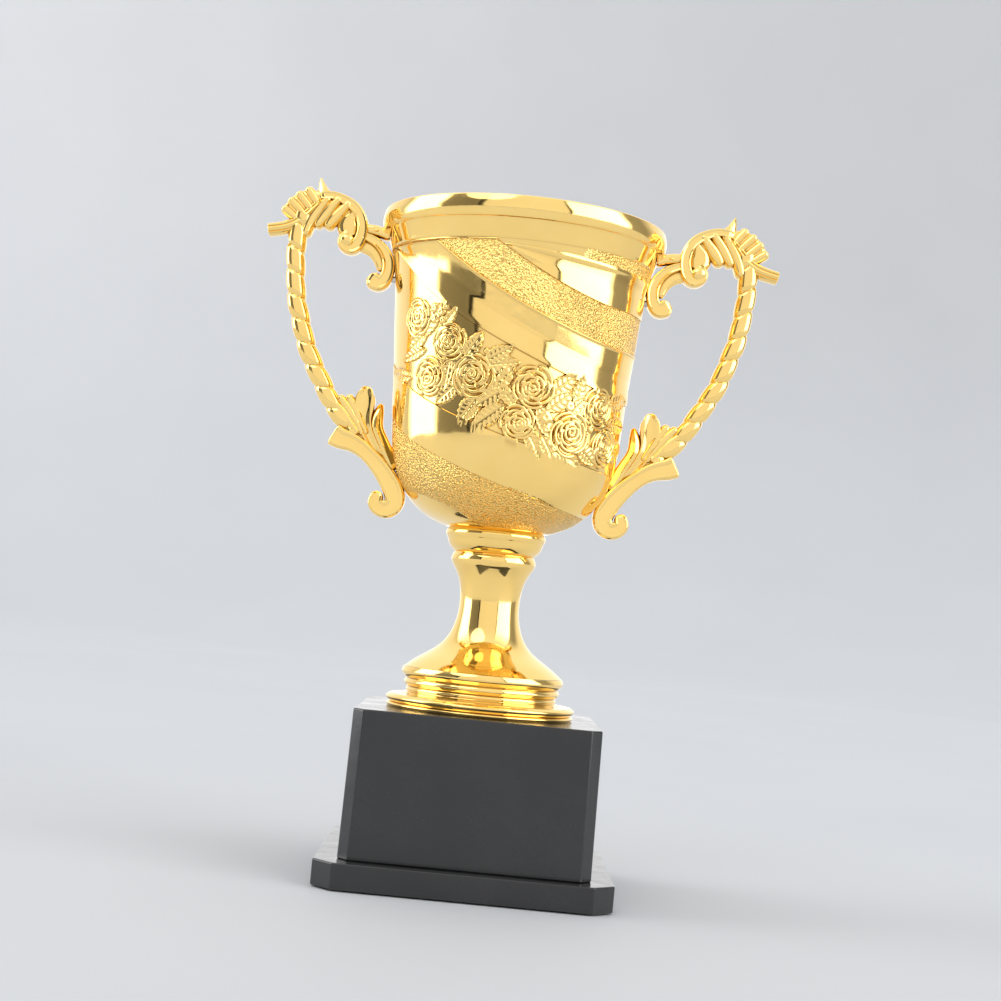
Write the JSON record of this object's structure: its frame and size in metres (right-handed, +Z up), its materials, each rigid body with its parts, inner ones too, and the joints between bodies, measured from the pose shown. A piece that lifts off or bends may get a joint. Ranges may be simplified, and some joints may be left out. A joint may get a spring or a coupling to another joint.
{
  "type": "cup trophy",
  "caption": "Two-handled gold cup trophy with a rose-and-ribbon bowl on a waisted stem, tie-rodded to a weighted square black base.",
  "frame": {"origin": "centre of the base's footprint, on the plane that the foot pads rest on", "axes": "+Z up along the turning axis of the cup, +X towards the right handle, the front of the cup faces -Y"},
  "size_m": [0.2668, 0.147, 0.355],
  "materials": {
    "gold_plate": "moulded plastic under a bright vacuum-plated gold film, mirror-like, with sanded bands on the bowl",
    "black_plastic": "polished black with fine scuffs",
    "cement": "cast, rough",
    "fibreboard": "pressed board, matt",
    "pad_rubber": "matt",
    "zinc_steel": "bright zinc plate"
  },
  "bodies": {
    "root": {"bowl": "gold_plate", "handle_left": "gold_plate", "handle_right": "gold_plate", "collar": "gold_plate", "stem": "gold_plate", "foot": "gold_plate", "foot_ring": "gold_plate", "pedestal": "black_plastic", "plinth": "black_plastic", "ballast_block": "cement", "base_cover": "fibreboard", "foot_pads": "pad_rubber", "tie_rod": "zinc_steel", "rod_dome_nut": "zinc_steel", "rod_top_washer": "zinc_steel", "rod_bottom_nut": "zinc_steel", "rod_bottom_washer": "zinc_steel", "handle_screws": "zinc_steel", "handle_washers": "zinc_steel", "plinth_screws": "zinc_steel"}
  },
  "joints": []
}
